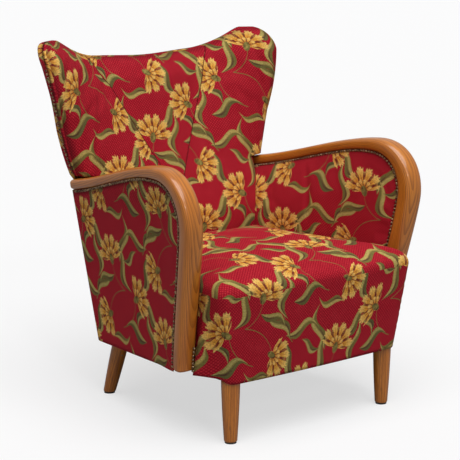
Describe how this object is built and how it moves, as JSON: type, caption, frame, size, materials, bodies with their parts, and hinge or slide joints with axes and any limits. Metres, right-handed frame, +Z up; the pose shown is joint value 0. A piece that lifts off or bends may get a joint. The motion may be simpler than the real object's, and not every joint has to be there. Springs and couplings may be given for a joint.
{
  "type": "fireside chair",
  "caption": "Fireside chair with sweeping show-wood arms, a winged padded back, a deep sprung seat in floral cloth edged with nails, and round tapered legs, the rear ones raked.",
  "frame": {"origin": "on the floor, under the middle of the chair's bounding box", "axes": "+X to the sitter's left when seen from the front of the chair looking at it, the chair faces -Y, +Z up"},
  "size_m": [0.8006, 0.7968, 0.965],
  "materials": {
    "beech": "sawn, unfinished",
    "show_wood": "satin varnish over honey-brown grain",
    "steel": "plain wire and bolts",
    "glide": "matte",
    "webbing": "woven jute",
    "hessian": "coarse jute",
    "stuffing": "cotton felt",
    "cover_cloth": "crimson floral furnishing cloth",
    "dust_cloth": "thin black cloth",
    "nails": "antiqued, dark"
  },
  "bodies": {
    "root": {"front_seat_rail": "beech", "rear_seat_rail": "beech", "left_seat_rail": "beech", "right_seat_rail": "beech", "corner_blocks": "beech", "frame_dowels": "beech", "left_back_post": "beech", "right_back_post": "beech", "back_top_rail": "beech", "back_lower_rail": "beech", "left_wing_frame": "beech", "right_wing_frame": "beech", "left_back_stile": "beech", "right_back_stile": "beech", "left_lower_side_rail": "beech", "right_lower_side_rail": "beech", "left_tacking_rail": "beech", "right_tacking_rail": "beech", "arm_blocks": "beech", "left_arm": "show_wood", "right_arm": "show_wood", "front_left_leg": "show_wood", "front_right_leg": "show_wood", "rear_left_leg": "show_wood", "rear_right_leg": "show_wood", "leg_bolts": "steel", "leg_glides": "glide", "seat_webbing": "webbing", "seat_springs": "steel", "seat_hessian": "hessian", "seat_pad": "stuffing", "seat_cover": "cover_cloth", "back_webbing": "webbing", "back_hessian": "hessian", "back_pad": "stuffing", "inside_back_cover": "cover_cloth", "outside_back_cover": "cover_cloth", "left_arm_hessian": "hessian", "right_arm_hessian": "hessian", "left_arm_pad": "stuffing", "right_arm_pad": "stuffing", "left_inside_arm_cover": "cover_cloth", "right_inside_arm_cover": "cover_cloth", "left_outside_arm_cover": "cover_cloth", "right_outside_arm_cover": "cover_cloth", "dust_cover": "dust_cloth", "side_dust_covers": "dust_cloth", "left_outer_nails": "nails", "right_outer_nails": "nails", "left_inner_nails": "nails", "right_inner_nails": "nails", "left_wing_nails": "nails", "right_wing_nails": "nails", "seat_nails": "nails"}
  },
  "joints": []
}
